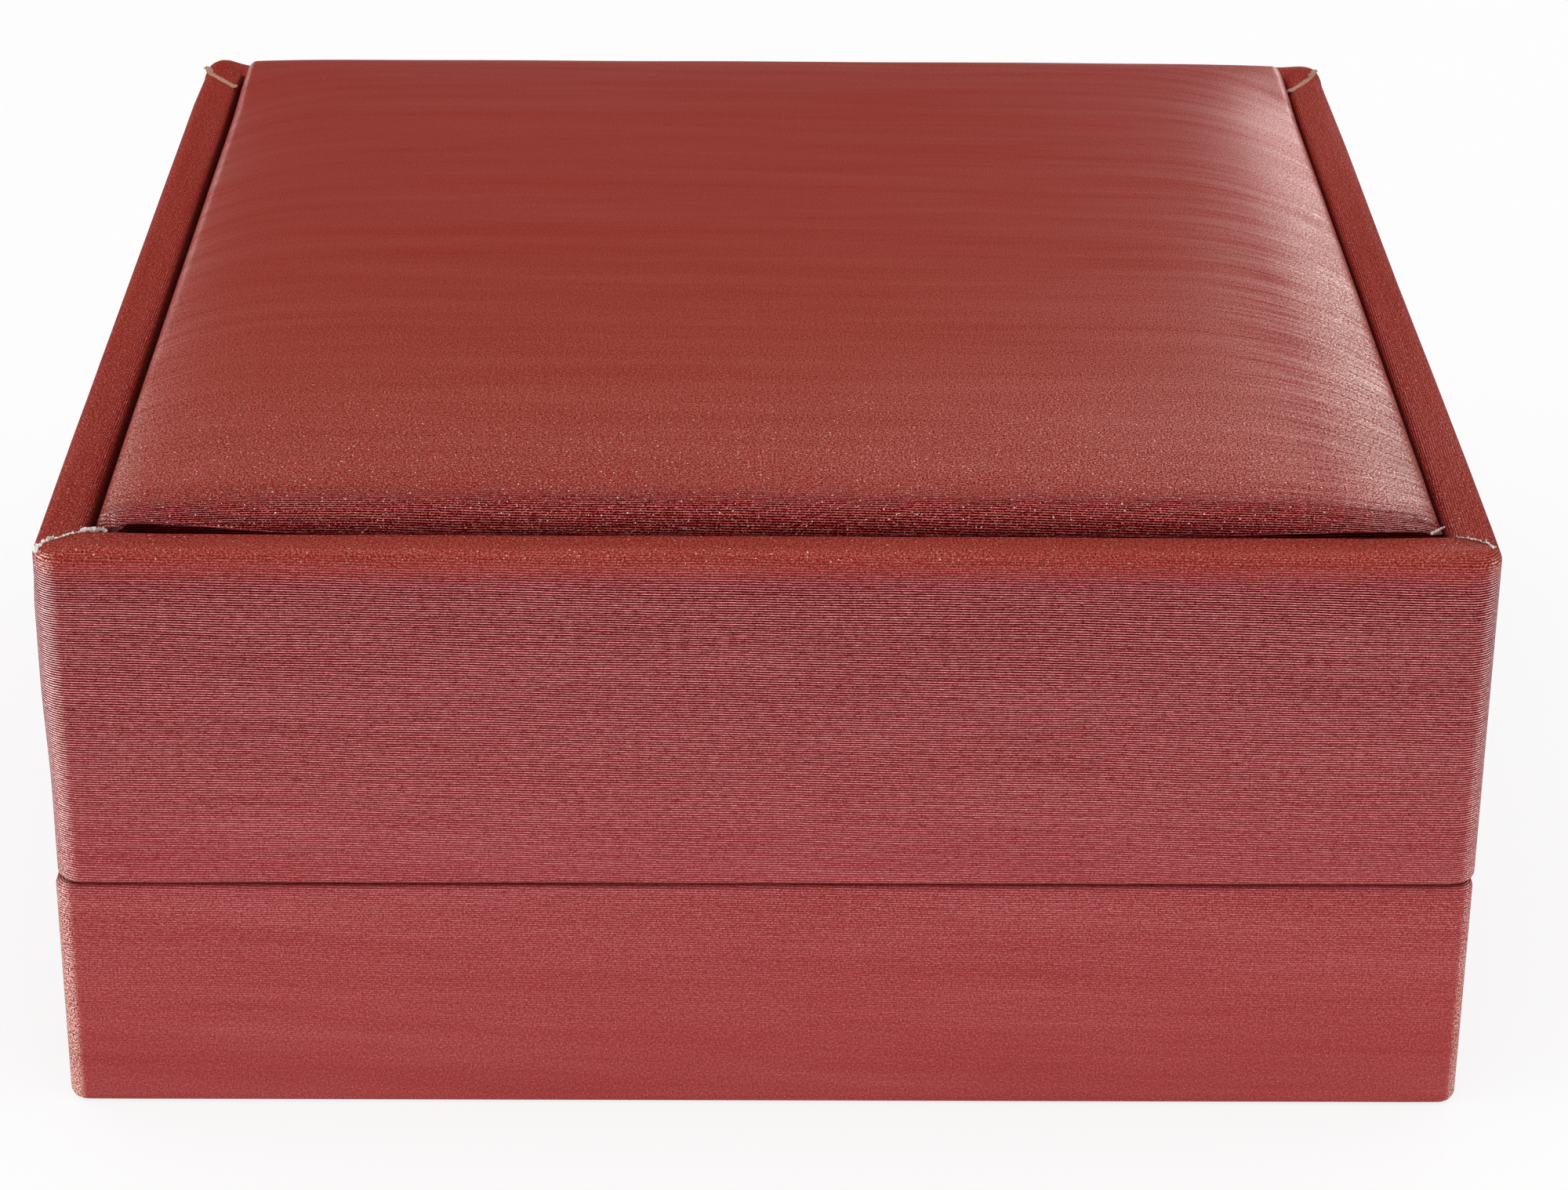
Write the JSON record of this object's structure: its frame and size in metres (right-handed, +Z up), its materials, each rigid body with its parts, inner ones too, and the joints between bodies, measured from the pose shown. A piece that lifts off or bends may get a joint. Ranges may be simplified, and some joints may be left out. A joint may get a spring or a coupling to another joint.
{
  "type": "bracelet box",
  "caption": "Square hinged bracelet box in dark red grooved leatherette, with a padded lid panel and a velvet pillow inside.",
  "frame": {"origin": "middle of the box's footprint, on the surface that it stands on", "axes": "+X to the right seen from the front, +Y from the front towards the hinged back, +Z up"},
  "size_m": [0.095, 0.1, 0.0443],
  "materials": {
    "leatherette": "dark red leatherette with fine embossed grooves and a soft metallic sheen",
    "board": "plain grey board",
    "flock_paper": "matt black flock paper",
    "velvet": "cream velvet with a short pile",
    "satin": "cream satin with a soft sheen",
    "foam": "open-cell foam",
    "brass": "brass-plated, lightly brushed",
    "spring_steel": "bright spring steel"
  },
  "bodies": {
    "base": {"base_leatherette": "leatherette", "base_shell": "board", "bottom_sheet": "flock_paper", "base_collar_front": "velvet", "base_collar_back": "velvet", "base_collar_left": "velvet", "base_collar_right": "velvet", "floor_lining": "velvet", "hinge_leaf_base_left": "brass", "hinge_leaf_base_right": "brass", "hinge_pin_left": "spring_steel", "hinge_pin_right": "spring_steel", "hinge_spring_left": "spring_steel", "hinge_spring_right": "spring_steel", "rivet_base_left_inner": "brass", "rivet_base_left_outer": "brass", "rivet_base_right_inner": "brass", "rivet_base_right_outer": "brass"},
    "lid": {"lid_leatherette": "leatherette", "lid_shell": "board", "pad_leatherette": "leatherette", "pad_board": "board", "pad_foam": "foam", "lid_ceiling_board": "board", "lid_ceiling_pad": "satin", "lid_lining_front": "satin", "lid_lining_back": "satin", "lid_lining_left": "satin", "lid_lining_right": "satin", "hinge_leaf_lid_left": "brass", "hinge_leaf_lid_right": "brass", "rivet_lid_left_inner": "brass", "rivet_lid_left_outer": "brass", "rivet_lid_right_inner": "brass", "rivet_lid_right_outer": "brass"},
    "pillow": {"pillow_velvet": "velvet", "pillow_foam": "foam"}
  },
  "joints": [
    {"name": "lid_hinge", "type": "hinge", "parent": "base", "child": "lid", "pos_m": [0, 0.0469, 0.01705], "axis": [-1, 0, 0], "range_deg": [0, 96]},
    {"name": "pillow_lift", "type": "slide", "parent": "base", "child": "pillow", "axis": [0, 0, 1], "range_m": [0, 0.004]}
  ]
}
